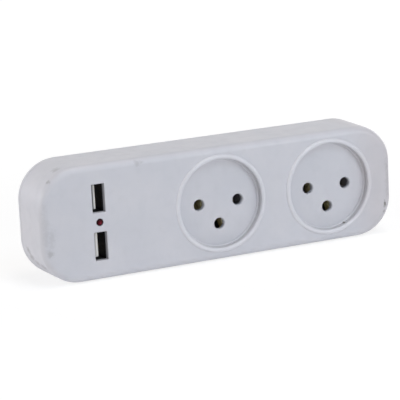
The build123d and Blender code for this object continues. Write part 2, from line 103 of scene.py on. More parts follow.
# %% Colour and nodes
A, B, MIXED = 6, 7, 2  # the two colours that go into a Mix node and the one that comes out


def colour(code):
    """A hex sRGB colour as linear red, green, blue and alpha."""
    parts = np.array([int(code[i : i + 2], 16) for i in (1, 3, 5)]) / 255
    linear = np.where(parts <= 0.04045, parts / 12.92, ((parts + 0.055) / 1.055) ** 2.4)
    return (*linear.tolist(), 1.0)


def plug(tree, node, inputs):
    """Give each socket, by name or number, a value or a link from another node's output."""
    for socket, value in inputs.items():
        if isinstance(value, bpy.types.NodeSocket):
            tree.links.new(value, node.inputs[socket])
        else:
            node.inputs[socket].default_value = value
    return node


def add(tree, kind, inputs=None, **settings):
    """Add a node with its own settings, and plug in its inputs."""
    node = tree.nodes.new(kind)
    for name, value in settings.items():
        setattr(node, name, value)
    return plug(tree, node, inputs or {})


def start_finish(name):
    """A new material. Returns it with its tree, its shader and the object coordinates in millimetres."""
    material = bpy.data.materials.new(name)
    material.use_nodes = True
    tree = material.node_tree
    metres = add(tree, "ShaderNodeTexCoord").outputs["Object"]
    place = add(tree, "ShaderNodeVectorMath", {0: metres, 1: (1 / MM,) * 3}, operation="MULTIPLY")
    return material, tree, tree.nodes["Principled BSDF"], place.outputs[0]


def dress(finish, *names):
    """Give a finish to CAD nodes, by name."""
    for name in names:
        nodes[name].data.materials[0] = finish
    print(finish.name, "on", ", ".join(names))


# %% [markdown]
# The adapter stands on a white table in soft light, as in a photographer's tent. A faint dome of light
# fills the shadows. Rays that go to the camera, or that come off metal and clear plastic, see the dome as
# white.

# %% World
white = colour("#ffffff")
dome_level = 0.15  # of white, as light on the adapter

world = bpy.data.worlds.new("tent")
bpy.context.scene.world = world
world.use_nodes = True
tent = world.node_tree
rays = add(tent, "ShaderNodeLightPath").outputs
seen = rays["Is Camera Ray"]
for bounce in ("Is Glossy Ray", "Is Transmission Ray"):
    seen = add(tent, "ShaderNodeMath", {0: seen, 1: rays[bounce]}, operation="MAXIMUM").outputs[0]
level = add(tent, "ShaderNodeMapRange", {"Value": seen, "To Min": dome_level, "To Max": 1.0}).outputs[0]
plug(tent, tent.nodes["Background"], {"Color": white, "Strength": level})
print("dome level:", dome_level)

# %% [markdown]
# One lamp is low behind the left end and one is beside it, so that end is bright, while the rounding
# between it and the front faces neither and stays darker. A third, in front and to the right, lights the
# front at a slant. Two hang above, and one keeps the wall side from going grey.

# %% Lamps
lamps = {  # place in metres, size in metres, power in watts, tint
    "lamp_behind": ((-0.90, 0.75, 0.15), 0.5, 3.2, (0.90, 0.91, 1.0)),
    "lamp_left": ((-1.10, -0.05, 0.30), 0.5, 3.8, (1.0, 0.96, 0.92)),
    "lamp_front": ((0.60, -1.05, 0.15), 0.7, 5.2, (0.94, 0.96, 1.0)),
    "lamp_above": ((0.10, -0.20, 1.15), 0.5, 4.5, (1.0, 0.92, 0.86)),
    "lamp_high": ((0.10, -0.75, 0.90), 0.5, 3.4, (0.76, 0.88, 1.0)),
    "lamp_rear": ((1.00, 0.70, 0.25), 0.5, 3.6, (0.97, 0.98, 1.0)),
}
for name, (lamp_place, size, power, tint) in lamps.items():
    data = bpy.data.lights.new(name, "AREA")
    data.shape = "SQUARE"
    data.size = size
    data.energy = power
    data.color = tint
    lamp = bpy.data.objects.new(name, data)
    bpy.context.scene.collection.objects.link(lamp)
    lamp.rotation_euler = (-Vector(lamp_place)).to_track_quat("-Z", "Y").to_euler()
    lamp.location = lamp_place
print("lamps:", len(lamps))

# %% [markdown]
# The floor is a wide pale sheet just under the bar, lit faintly from below like a light table, so that the
# lower edge of the bar isn't lost in its own shadow. To the camera most of its light is its own white, which
# grows a little with the distance, and the rest is what falls on it. So the background stays white while
# the bar still has a soft shadow.

# %% Floor
floor_half = 4.0  # m
floor_level = float(cad_box[0][2])
corners = np.array([[-1, -1, 0], [1, -1, 0], [1, 1, 0], [-1, 1, 0]], float) * floor_half
corners[:, 2] = floor_level
floor_mesh = bpy.data.meshes.new("floor")
floor_mesh.from_pydata(corners.tolist(), [], [(0, 1, 2, 3)])
floor = bpy.data.objects.new("floor", floor_mesh)
bpy.context.scene.collection.objects.link(floor)
floor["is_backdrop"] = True
print("floor at", round(floor_level / MM, 2), "mm")

# %% Floor paper
floor_glow = 0.135  # of white, as light on the adapter
floor_catch = 0.28  # share of the light falling on the floor that the camera sees
near, far = 120.0, 700.0  # mm from the plug
near_white, far_white = 0.78, 0.93  # of white, to the camera

paper, tree, shader, place = start_finish("pale background paper")
plug(tree, shader, {"Base Color": colour("#f2f2f2"), "Roughness": 0.9,
                    "Emission Color": white, "Emission Strength": floor_glow})
lit = add(tree, "ShaderNodeBsdfDiffuse", {"Color": (*[floor_catch] * 3, 1.0)}).outputs[0]
away = add(tree, "ShaderNodeVectorMath", {0: place}, operation="LENGTH").outputs["Value"]
whiter = add(tree, "ShaderNodeMapRange", {"Value": away, "From Min": near, "From Max": far,
                                          "To Min": near_white, "To Max": far_white}).outputs[0]
own = add(tree, "ShaderNodeEmission", {"Color": white, "Strength": whiter}).outputs[0]
both = add(tree, "ShaderNodeAddShader", {0: lit, 1: own}).outputs[0]
to_camera = add(tree, "ShaderNodeLightPath").outputs["Is Camera Ray"]
pick = add(tree, "ShaderNodeMixShader", {0: to_camera, 1: shader.outputs[0], 2: both}).outputs[0]
plug(tree, tree.nodes["Material Output"], {"Surface": pick})
floor_mesh.materials.append(paper)
print("floor:", paper.name)

# %% [markdown]
# The housing is injection-moulded ABS. The mould was spark-eroded, which leaves a very fine, even grain, so
# the plastic has a soft satin shine and no sharp reflections. Handling has left it faintly cloudy. A flat
# colour would look like a drawing, so clouds of two sizes move its colour and its shine by a few percent,
# and a fine noise gives the grain.

# %% Moulded ABS
cloud_size, smear_size = 16.0, 4.5  # mm
grain_size = 0.5  # mm; the real grain is about 0.1, too fine for the picture to show
grain_depth = 0.03  # mm

abs_finish, tree, shader, place = start_finish("moulded ABS, fine spark grain")
clouds = add(tree, "ShaderNodeTexNoise",
             {"Vector": place, "Scale": 1 / cloud_size, "Detail": 3.0}).outputs["Fac"]
smears = add(tree, "ShaderNodeTexNoise",
             {"Vector": place, "Scale": 1 / smear_size, "Detail": 4.0}).outputs["Fac"]
grain = add(tree, "ShaderNodeTexNoise",
            {"Vector": place, "Scale": 1 / grain_size, "Detail": 2.0}).outputs["Fac"]
cloudy = add(tree, "ShaderNodeMapRange", {"Value": clouds, "From Min": 0.35, "From Max": 0.7}).outputs[0]
plastic = add(tree, "ShaderNodeMix", {0: cloudy, A: colour("#c9c9cf"), B: colour("#c4c5cc")},
              data_type="RGBA").outputs[MIXED]
smeared = add(tree, "ShaderNodeMapRange",
              {"Value": smears, "From Min": 0.5, "From Max": 0.75, "To Max": 0.22}).outputs[0]
plastic = add(tree, "ShaderNodeMix", {0: smeared, A: plastic, B: colour("#b9bac0")},
              data_type="RGBA").outputs[MIXED]
relief = add(tree, "ShaderNodeBump",
             {"Height": grain, "Strength": 0.2, "Distance": grain_depth * MM}).outputs[0]
plug(tree, shader, {"IOR": 1.53, "Normal": relief})
print("housing:", abs_finish.name)

# %% [markdown]
# This adapter has been used. There are faint scuffs along its left front edge and on the lower left corner,
# a dark speck in the second socket and two on the right edge. Two faint bands along the left front rounding
# are partly scuffs and partly painted shade, and a band along the right front edge is painted shade. Each
# mark is
# an ellipsoid in space: the distance from its centre, divided by its half sizes, is turned into a cover that
# fades outwards, and noise makes it ragged. This keeps a mark in its place on the solid whatever side it is
# seen from.

# %% Scuffs, specks and painted shade
dirt_and_shade_colour = colour("#5d5b52")
ragged_size = 1.3  # mm
dirt_and_shade_marks = [  # centre and half sizes in mm, cover
    ((-84.0, -14.1, -12.0), (2.0, 2.6, 2.4), 0.36),
    ((-83.1, -15.4, -14.8), (2.0, 3.0, 2.4), 0.36),
    ((-82.0, -18.8, -16.8), (2.0, 4.2, 1.9), 0.30),
    ((-81.5, -24.0, -17.6), (2.0, 4.2, 1.7), 0.30),
    ((-79.2, -29.7, 20.0), (1.2, 1.4, 1.4), 0.35),
    ((-80.8, -32.0, -10.2), (2.0, 2.4, 2.2), 0.26),
    # Partly scuffs and partly painted shade: faint bands along the left front rounding.
    ((-79.9, -32.0, -4.5), (2.0, 2.4, 6.5), 0.12),
    ((-82.0, -31.7, 1.0), (1.8, 2.4, 12.0), 0.10),
    ((82.9, -32.0, -11.9), (0.9, 2.0, 2.3), 0.75),
    ((82.5, -32.0, -15.4), (0.7, 2.0, 1.0), 0.45),
    # Painted shade: a faint band along the right front edge.
    ((84.5, -31.8, 0.0), (1.4, 2.4, 12.0), 0.14),
    ((62.1, -30.2, -18.1), (1.0, 1.4, 0.8), 0.90),
    ((-38.5, -32.0, 23.1), (2.8, 2.2, 1.5), 0.20),
    ((-74.0, -25.8, 24.0), (2.2, 2.6, 2.0), 0.22),
]
ragged = add(tree, "ShaderNodeTexNoise",
             {"Vector": place, "Scale": 1 / ragged_size, "Detail": 3.0}).outputs["Fac"]
uneven = add(tree, "ShaderNodeMapRange", {"Value": ragged, "From Min": 0.3, "From Max": 0.7,
                                          "To Min": -0.4, "To Max": 0.4}).outputs[0]


def cover(tree, place, uneven, marks):
    """The largest cover of the marks at a point. A mark's cover is full inside a quarter of its ellipsoid
    and falls to nothing at its surface, and the uneven number moves both in or out."""
    total = 0.0
    for centre, half_sizes, strength in marks:
        offset = add(tree, "ShaderNodeVectorMath", {0: place, 1: centre}, operation="SUBTRACT").outputs[0]
        ratio = add(tree, "ShaderNodeVectorMath", {0: offset, 1: half_sizes}, operation="DIVIDE").outputs[0]
        distance = add(tree, "ShaderNodeVectorMath", {0: ratio}, operation="LENGTH").outputs["Value"]
        edge = add(tree, "ShaderNodeMath", {0: distance, 1: uneven}, operation="ADD").outputs[0]
        mark = add(tree, "ShaderNodeMapRange", {"Value": edge, "From Min": 0.25, "From Max": 1.0,
                                                "To Min": strength, "To Max": 0.0}).outputs[0]
        total = add(tree, "ShaderNodeMath", {0: mark, 1: total}, operation="MAXIMUM").outputs[0]
    return total


dirt_and_shade = cover(tree, place, uneven, dirt_and_shade_marks)
print("marks:", len(dirt_and_shade_marks))

# %% [markdown]
# The beads round the sockets are painted paler than the rest: a painted highlight along their crests, and
# painted light on their outer left flanks, where the surface faces left. The walls of the recesses are
# painted greyer as painted shade. The two sockets mirror each other, so one distance from the nearer axis
# serves both. The rear cover has the same finish, so the depth keeps this painted light and shade to the
# front.

# %% Distance from a socket
half_spacing = 54.3 / 2  # mm, from halfway between the sockets to an axis
behind_recess = -29.0  # mm along Y, just behind the floor of a recess

x, y, z = add(tree, "ShaderNodeSeparateXYZ", {0: place}).outputs
from_middle = add(tree, "ShaderNodeMath", {0: x, 1: half_spacing}, operation="SUBTRACT").outputs[0]
from_middle = add(tree, "ShaderNodeMath", {0: from_middle}, operation="ABSOLUTE").outputs[0]
from_axis = add(tree, "ShaderNodeMath", {0: from_middle, 1: half_spacing}, operation="SUBTRACT").outputs[0]
across = add(tree, "ShaderNodeCombineXYZ", {"X": from_axis, "Z": z}).outputs[0]
radius = add(tree, "ShaderNodeVectorMath", {0: across}, operation="LENGTH").outputs["Value"]
in_front = add(tree, "ShaderNodeMath", {0: y, 1: behind_recess}, operation="LESS_THAN").outputs[0]
print("socket axes:", 0.0, 2 * half_spacing)

# %% Painted light on the beads
front_face = -32.0  # mm along Y
bead_crest, bead_foot = 20.85, 22.15  # mm from the socket's axis

# Painted highlight: the colour is paler along the crest of each bead.
from_crest = add(tree, "ShaderNodeMath", {0: radius, 1: bead_crest}, operation="SUBTRACT").outputs[0]
from_crest = add(tree, "ShaderNodeMath", {0: from_crest}, operation="ABSOLUTE").outputs[0]
crest_highlight = add(tree, "ShaderNodeMapRange", {"Value": from_crest, "From Min": 0.4, "From Max": 1.1,
                                         "To Min": 0.5, "To Max": 0.0}).outputs[0]
proud = add(tree, "ShaderNodeMapRange", {"Value": y, "From Min": front_face - 0.5,
                                         "From Max": front_face - 0.1,
                                         "To Min": 1.0, "To Max": 0.0}).outputs[0]
painted_bead_light = add(tree, "ShaderNodeMath", {0: crest_highlight, 1: proud}, operation="MULTIPLY").outputs[0]
# Painted light: the colour is paler on the outer flank of a bead where the surface faces left.
normal = add(tree, "ShaderNodeNewGeometry").outputs["Normal"]
facing = add(tree, "ShaderNodeSeparateXYZ", {0: normal}).outputs["X"]
lit_flank = add(tree, "ShaderNodeMapRange", {"Value": facing, "From Min": -0.8, "From Max": -0.3,
                                         "To Min": 1.0, "To Max": 0.0}).outputs[0]
outer = add(tree, "ShaderNodeMath", {0: radius, 1: bead_crest}, operation="GREATER_THAN").outputs[0]
beside = add(tree, "ShaderNodeMath", {0: radius, 1: bead_foot}, operation="LESS_THAN").outputs[0]
for limit in (beside, in_front):
    outer = add(tree, "ShaderNodeMath", {0: outer, 1: limit}, operation="MULTIPLY").outputs[0]
painted_bead_light = add(tree, "ShaderNodeMath", {0: lit_flank, 1: outer, 2: painted_bead_light}, operation="MULTIPLY_ADD",
           use_clamp=True).outputs[0]
plastic = add(tree, "ShaderNodeMix", {0: painted_bead_light, A: plastic, B: colour("#dcdce2")},
              data_type="RGBA").outputs[MIXED]
print("beads paler out to", bead_foot, "mm")

# %% Painted shade on the recess walls
wall_radius = 19.8  # mm
wall_shade_cover = 0.2

# Painted shade: the colour darkens towards the dirt colour just inside each recess wall.
painted_wall_shade = add(tree, "ShaderNodeMapRange", {"Value": radius, "From Min": wall_radius - 0.5,
                                         "From Max": wall_radius - 0.2,
                                         "To Max": wall_shade_cover}).outputs[0]
within = add(tree, "ShaderNodeMath", {0: radius, 1: wall_radius + 0.03}, operation="LESS_THAN").outputs[0]
for limit in (within, in_front):
    painted_wall_shade = add(tree, "ShaderNodeMath", {0: painted_wall_shade, 1: limit}, operation="MULTIPLY").outputs[0]
plastic = add(tree, "ShaderNodeMix", {0: painted_wall_shade, A: plastic, B: dirt_and_shade_colour},
              data_type="RGBA").outputs[MIXED]
print("grime on the walls:", wall_shade_cover)

# %% [markdown]
# The right end looks a little warmer, as ABS does that has yellowed in daylight, so the colour is multiplied
# by a warm tint there. The dirt and the painted shade are on top of everything, and they dull the shine
# where they lie.

# %% Yellowed end, dirt and painted shade, and shine
yellow_from, yellow_to = 64.0, 78.0  # mm along the bar
dirt_dulling = 0.4  # added to the roughness where dirt covers fully

yellowed = add(tree, "ShaderNodeMapRange",
               {"Value": x, "From Min": yellow_from, "From Max": yellow_to}).outputs[0]
plastic = add(tree, "ShaderNodeMix", {0: yellowed, A: plastic, B: colour("#faf6f4")},
              data_type="RGBA", blend_type="MULTIPLY").outputs[MIXED]
# Dirt and painted shade: the colour goes towards the dirt colour where the marks cover.
plastic = add(tree, "ShaderNodeMix", {0: dirt_and_shade, A: plastic, B: dirt_and_shade_colour}, data_type="RGBA").outputs[MIXED]
rough = add(tree, "ShaderNodeMapRange", {"Value": smears, "From Min": 0.3, "From Max": 0.7,
                                         "To Min": 0.36, "To Max": 0.46}).outputs[0]
# The roughness rises where the dirt and the painted shade lie.
rough = add(tree, "ShaderNodeMath", {0: dirt_and_shade, 1: dirt_dulling, 2: rough},
            operation="MULTIPLY_ADD").outputs[0]
plug(tree, shader, {"Base Color": plastic, "Roughness": rough})
dress(abs_finish, "front_cover", "rear_cover")

# %% [markdown]
# Screws and the lamp are turned shapes. A grid of points has one parameter that goes round the axis and one
# that goes along the outline. The grid is closed round, and a single point closes each end. The helper puts
# copies of it at several places in one mesh. The axis of each is the depth of the bar, so the distance along
# it is a height above the wall, towards the front.

# %% Closed surfaces
sharp_over = 40  # degrees between two faces


def turned_piece(name, radius, angle, height, places):
    """One mesh of turned shapes. At row i and column j the point lies at the radius and the angle given
    there, round an axis at each place (x, z), at the height given there. All are in mm and radians."""
    rows, columns = radius.shape
    grid = np.stack([radius * np.cos(angle), -height, radius * np.sin(angle)], axis=-1).reshape(-1, 3)
    ends = np.array([[0, -height[0].mean(), 0], [0, -height[-1].mean(), 0]])
    shape = np.vstack([grid, ends])
    i, j = np.meshgrid(np.arange(rows - 1) * columns, np.arange(columns), indexing="ij")
    k = (j + 1) % columns
    quads = np.stack([i + j, i + k, i + columns + k, i + columns + j], axis=-1)
    j, k = j[0], k[0]
    last_row = (rows - 1) * columns
    first_cap = np.stack([k, j, np.full(columns, len(grid))], axis=-1)
    last_cap = np.stack([last_row + j, last_row + k, np.full(columns, len(grid) + 1)], axis=-1)
    steps = (np.arange(len(places)) * len(shape))[:, None, None]
    axes = np.array([(x, 0.0, z) for x, z in places])
    points = (axes[:, None, :] + shape).reshape(-1, 3) * MM
    faces = (quads.reshape(1, -1, 4) + steps).reshape(-1, 4).tolist()
    faces += (np.vstack([first_cap, last_cap])[None] + steps).reshape(-1, 3).tolist()
    mesh = bpy.data.meshes.new(name)
    mesh.from_pydata(points.tolist(), [], faces)
    mesh.polygons.foreach_set("use_smooth", np.ones(len(faces), bool))
    mesh.set_sharp_from_angle(angle=math.radians(sharp_over))
    piece = bpy.data.objects.new(name, mesh)
    bpy.context.scene.collection.objects.link(piece)
    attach(piece, "root")
    print(name, "faces:", len(faces))
    return piece


# %% [markdown]
# The two covers are held by six pan-head screws with a cross recess, sunk in wells at the back, and the
# board by four smaller ones. A cylinder with a slot would look like a toy, so the head is a low dome from
# which a smooth cross is sunk, and the shank has a real helix: its radius rises and falls with the height
# minus one pitch for each turn.

# %% Screw shape
def screw(name, places, seat, head_radius, head_height, shank_radius, length, pitch):
    """Screws with their heads towards the wall, all sizes in mm. The outline goes over the head from its
    middle, down its rim, under it to the shank and along to the tip. The cross is sunk where a point is
    within half an arm's width of either arm. The thread's radius is the shank's less a groove, which is
    deepest halfway between two ridges, and it tapers over the last diameter."""
    columns, rows_per_pitch = 64, 8
    crown, sunk_depth = 0.38, 0.55  # of the head's height: its dome over the rim, and the cross
    arm_reach, arm_half, arm_slope = 0.6, 0.15, 0.05  # of the head's radius
    groove_depth, tip_share = 0.22, 0.05  # of the shank's radius
    angle = np.linspace(0, 2 * np.pi, columns, endpoint=False)
    over = np.linspace(0.02, 1, 30)
    rim = np.linspace(1 - crown, 0, 5)[1:]
    under = np.linspace(0.95, 0.5, 3)
    step = pitch / rows_per_pitch
    along = np.arange(0, length, step) + step / 2
    radius = np.concatenate([over, np.ones(len(rim)), under]) * head_radius
    height = np.concatenate([crown * over**3 - 1, -rim, np.zeros(len(under))]) * head_height
    radius = np.concatenate([radius, np.full(len(along), shank_radius)])
    height = np.concatenate([height, along])
    radius, height = (np.repeat(a[:, None], columns, axis=1) for a in (radius, height))
    x, z = radius * np.cos(angle) / head_radius, radius * np.sin(angle) / head_radius
    arms = [np.clip((arm_half - np.abs(a)) / arm_slope, 0, 1)
            * np.clip((arm_reach - np.abs(b)) / (4 * arm_slope), 0, 1) for a, b in ((x, z), (z, x))]
    on_dome = np.arange(len(radius))[:, None] < len(over)
    height = height + np.where(on_dome, np.maximum(*arms) * sunk_depth * head_height, 0)
    ridge = 0.5 + 0.5 * np.cos(2 * np.pi * height / pitch - angle)
    taper = np.clip((length - height) / (2 * shank_radius), tip_share, 1)
    thread = taper * shank_radius * (1 - groove_depth * (1 - ridge**2))
    radius = np.where(height > 0, thread, radius)
    return turned_piece(name, radius, angle, seat + height, places)


# %% Screws
corner_columns, corner_rows = (-74.6, 77.1), (-13.75, 13.75)  # mm
middle_column, middle_rows = 27.15, (-18.9, 18.9)
post_columns, post_rows = (-66.2, -29.2), (-16.35, 16.35)

rear_places = [(x, z) for x in corner_columns for z in corner_rows]
rear_places += [(middle_column, z) for z in middle_rows]
rear_screws = screw("rear_screws", rear_places, seat=7.0, head_radius=2.8, head_height=2.0,
                    shank_radius=1.25, length=12.0, pitch=1.1)
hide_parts("cover_screws")
post_places = [(x, z) for x in post_columns for z in post_rows]
small_screws = screw("small_screws", post_places, seat=16.0, head_radius=1.9, head_height=1.3,
                     shank_radius=0.85, length=6.0, pitch=0.75)
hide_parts("board_screws")

# %% [markdown]
# The lamp is a 3 mm light-emitting diode, a cast epoxy body with a flange, a straight wall and a half-round
# nose. The outline is written as radius and height in order, and the nose is a quarter circle.

# %% Lamp
usb_x = -57.6  # mm, the line on which the ports and the lamp stand
flange, wall, bevel = 1.9, 1.5, 0.08  # mm: two radii and the flange's broken edge
base, shoulder, nose_foot = 27.3, 28.3, 31.1  # mm above the wall
lamp_columns = 48

nose = np.linspace(0, np.pi / 2, 15)[:-1]
flange_radius = [0.3, flange - bevel, flange, flange, flange - bevel, wall]
flange_height = [base, base, base + bevel, shoulder - bevel, shoulder, shoulder]
outline_radius = np.concatenate([flange_radius, wall * np.cos(nose)])
outline_height = np.concatenate([flange_height, nose_foot + wall * np.sin(nose)])
lamp_angle = np.linspace(0, 2 * np.pi, lamp_columns, endpoint=False)
lamp_radius, lamp_height = (np.repeat(a[:, None], lamp_columns, axis=1)
                            for a in (outline_radius, outline_height))
lamp_body = turned_piece("lamp_body", lamp_radius, lamp_angle, lamp_height, [(usb_x, 0.0)])
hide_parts("power_led")

# %% [markdown]
# The lamp is off, so its tinted epoxy looks nearly black, with a dull red glow low in the middle where light
# comes back from the metal cup inside. Real glass-like depth would need the cup and its chip behind clear
# epoxy, far below a pixel here, so the glow is drawn as a soft spot.

# %% Tinted epoxy
glow_centre = (usb_x + 0.1, -32.4, -0.35)  # mm
streak_size = 0.6  # mm

epoxy, tree, shader, place = start_finish("tinted cast epoxy, unlit")
centred = add(tree, "ShaderNodeVectorMath", {0: place, 1: glow_centre}, operation="SUBTRACT").outputs[0]
reach = add(tree, "ShaderNodeVectorMath", {0: centred}, operation="LENGTH").outputs["Value"]
glow = add(tree, "ShaderNodeMapRange", {"Value": reach, "From Min": 0.2, "From Max": 1.3,
                                        "To Min": 1.0, "To Max": 0.0}).outputs[0]
streaks = add(tree, "ShaderNodeTexNoise",
              {"Vector": place, "Scale": 1 / streak_size, "Detail": 2.0}).outputs["Fac"]
tint = add(tree, "ShaderNodeMix", {0: glow, A: colour("#2c060c"), B: colour("#6e1626")},
           data_type="RGBA").outputs[MIXED]
rough = add(tree, "ShaderNodeMapRange", {"Value": streaks, "To Min": 0.18, "To Max": 0.36}).outputs[0]
plug(tree, shader, {"Base Color": tint, "Roughness": rough, "IOR": 1.54, "Specular IOR Level": 0.06})
lamp_body.data.materials.append(epoxy)
print("lamp:", epoxy.name)

# %% [markdown]
# Most of the metal pieces were rolled, drawn or turned, and that leaves fine lines along or round them. One
# function makes them all: noise squeezed across the lines and stretched along them moves the shine and gives
# a shallow relief, and a slow cloud dulls the colour in places. Real tool marks are a few times finer than
# these, which are drawn as coarse as a close picture needs.

# %% Worked metal
def worked_metal(name, code, dull_code, rough, lines, cloud):
    """A metal with tool marks. Lines is how many marks fall on a millimetre along X, Y and Z, and cloud is
    the size of a dulled patch in millimetres."""
    mark_depth = 0.01  # mm
    finish, tree, shader, place = start_finish(name)
    squeezed = add(tree, "ShaderNodeVectorMath", {0: place, 1: lines}, operation="MULTIPLY").outputs[0]
    marks = add(tree, "ShaderNodeTexNoise",
                {"Vector": squeezed, "Scale": 1.0, "Detail": 2.0}).outputs["Fac"]
    haze = add(tree, "ShaderNodeTexNoise",
               {"Vector": place, "Scale": 1 / cloud, "Detail": 3.0}).outputs["Fac"]
    dulled = add(tree, "ShaderNodeMapRange", {"Value": haze, "From Min": 0.45, "From Max": 0.75}).outputs[0]
    tint = add(tree, "ShaderNodeMix", {0: dulled, A: colour(code), B: colour(dull_code)},
               data_type="RGBA").outputs[MIXED]
    uneven = add(tree, "ShaderNodeMapRange", {"Value": marks, "From Min": 0.3, "From Max": 0.7,
                                              "To Min": rough - 0.07, "To Max": rough + 0.1}).outputs[0]
    relief = add(tree, "ShaderNodeBump",
                 {"Height": marks, "Strength": 0.3, "Distance": mark_depth * MM}).outputs[0]
    plug(tree, shader, {"Base Color": tint, "Roughness": uneven, "Metallic": 1.0, "Normal": relief})
    return finish


# %% Metal pieces
# Turned on a lathe and plated with nickel: warm grey, bright, with faint rings round each pin.
nickel_pins = worked_metal("turned brass, nickel plate", "#cfc9bf", "#b5aea3", rough=0.22,
                           lines=(0.3, 5.0, 0.3), cloud=5.0)
dress(nickel_pins, "line_pin", "neutral_pin", "earth_pin")
# Rolled along the bar and left bare: pale yellow, dulled by a thin tarnish.
brass = worked_metal("rolled brass, lightly tarnished", "#e3d9ae", "#cfc393", rough=0.6,
                     lines=(0.15, 4.0, 4.0), cloud=6.0)
dress(brass, "line_busbar", "neutral_busbar", "earth_busbar")
# Folded from strip plated in black nickel: nearly black, satin, lines along the depth.
shell_plate = worked_metal("folded steel, black nickel plate", "#2a2a2c", "#1c1c1d", rough=0.38,
                           lines=(4.0, 0.2, 4.0), cloud=4.0)
dress(shell_plate, "upper_usb_shell", "lower_usb_shell")
# Flash gold on stamped bronze: deep yellow, bright.
gilt = worked_metal("stamped bronze, flash gold", "#d8b25a", "#b98f3e", rough=0.25,
                    lines=(5.0, 0.3, 5.0), cloud=1.5)
dress(gilt, "upper_usb_contacts", "lower_usb_contacts")
# Dipped in tin: soft silver, a little uneven.
tin = worked_metal("drawn copper, tin dip", "#c8c9cb", "#a9aaac", rough=0.3,
                   lines=(3.0, 0.4, 3.0), cloud=1.2)
dress(tin, "led_leads")
# Zinc-plated steel: bluish grey, satin, with rings from heading and rolling.
zinc = worked_metal("headed steel, zinc plate", "#b7bac0", "#8f9298", rough=0.34,
                    lines=(1.2, 4.0, 1.2), cloud=2.0)
for piece in (rear_screws, small_screws):
    piece.data.materials.append(zinc)
    print(zinc.name, "on", piece.name)

# %% [markdown]
# The moulded and coated pieces share a second function: a fine grain in relief, and clouds that move the
# colour and the shine a little. Each keeps the colour and gloss of its own plastic or lacquer. A real grain
# finer than about 0.2 mm is drawn at that size, so that a close picture can show it.

# %% Moulding or coat
def moulded(name, code, cloudy_code, rough, grain_size, cloud, ior):
    """A plastic or lacquer. Grain size and cloud are in millimetres."""
    grain_depth = 0.02  # mm
    finish, tree, shader, place = start_finish(name)
    grain = add(tree, "ShaderNodeTexNoise",
                {"Vector": place, "Scale": 1 / grain_size, "Detail": 2.0}).outputs["Fac"]
    haze = add(tree, "ShaderNodeTexNoise",
               {"Vector": place, "Scale": 1 / cloud, "Detail": 3.0}).outputs["Fac"]
    clouded = add(tree, "ShaderNodeMapRange", {"Value": haze, "From Min": 0.35, "From Max": 0.7}).outputs[0]
    tint = add(tree, "ShaderNodeMix", {0: clouded, A: colour(code), B: colour(cloudy_code)},
               data_type="RGBA").outputs[MIXED]
    uneven = add(tree, "ShaderNodeMapRange", {"Value": haze, "From Min": 0.3, "From Max": 0.7,
                                              "To Min": rough - 0.05, "To Max": rough + 0.08}).outputs[0]
    relief = add(tree, "ShaderNodeBump",
                 {"Height": grain, "Strength": 0.25, "Distance": grain_depth * MM}).outputs[0]
    plug(tree, shader, {"Base Color": tint, "Roughness": uneven, "IOR": ior, "Normal": relief})
    return finish


# %% Moulded and coated pieces
# Phenolic bobbin: brownish black, dull, swirled by the flow in the mould.
phenolic = moulded("phenolic moulding, black", "#211d1b", "#2e2824", rough=0.5,
                   grain_size=0.4, cloud=3.0, ior=1.6)
dress(phenolic, "transformer_bobbin")
# Pressed and fired ferrite: dark grey, granular, nearly without shine.
ferrite = moulded("sintered ferrite", "#3c3c3f", "#4a494b", rough=0.6,
                  grain_size=0.25, cloud=1.5, ior=1.9)
dress(ferrite, "transformer_core")
# Dipped lacquer on the disc capacitor: blue, glossy, with sags.
disc_lacquer = moulded("dipped lacquer, blue", "#2c5a8e", "#234a78", rough=0.2,
                       grain_size=1.6, cloud=2.5, ior=1.5)
dress(disc_lacquer, "disc_capacitor")
# Soft PVC on the two leads: satin, slightly uneven from the extruder.
brown_pvc = moulded("extruded PVC, brown", "#6b4026", "#5a3520", rough=0.38,
                    grain_size=0.8, cloud=4.0, ior=1.53)
dress(brown_pvc, "line_lead")
blue_pvc = moulded("extruded PVC, blue", "#2f5fa3", "#28528e", rough=0.38,
                   grain_size=0.8, cloud=4.0, ior=1.53)
dress(blue_pvc, "neutral_lead")
# Transfer-moulded epoxy on the rectifier: black, matt, fine as emery.
black_epoxy = moulded("transfer-moulded epoxy, black", "#1f1f20", "#2a2a2b", rough=0.48,
                      grain_size=0.2, cloud=1.5, ior=1.55)
dress(black_epoxy, "bridge_rectifier")

# %% [markdown]
# The insulators in the ports are moulded in chalky white polyester with short glass fibres just under the
# skin. The side of each tip that lies close to the shell is painted dark as painted shade, so only the other
# half of the tip shows as a white strip. The lower port gets less of this painted shade. The distance along
# the bar picks out the shaded side, and the height picks out the port.

# %% Port insulators
fibre_size, fibre_depth = 0.3, 0.02  # mm
shade_full, shade_end = usb_x - 1.05, usb_x - 0.8  # mm along the bar
lower_shade, upper_shade = 0.3, 0.85

insulator, tree, shader, place = start_finish("glass-filled polyester, white")
fibres = add(tree, "ShaderNodeTexNoise",
             {"Vector": place, "Scale": 1 / fibre_size, "Detail": 2.0}).outputs["Fac"]
chalk = add(tree, "ShaderNodeMix", {0: fibres, A: colour("#f4f2ed"), B: colour("#e8e6e0")},
            data_type="RGBA").outputs[MIXED]
along, _, up = add(tree, "ShaderNodeSeparateXYZ", {0: place}).outputs
amount = add(tree, "ShaderNodeMapRange", {"Value": up, "From Min": -1.0, "From Max": 1.0,
                                          "To Min": lower_shade, "To Max": upper_shade}).outputs[0]
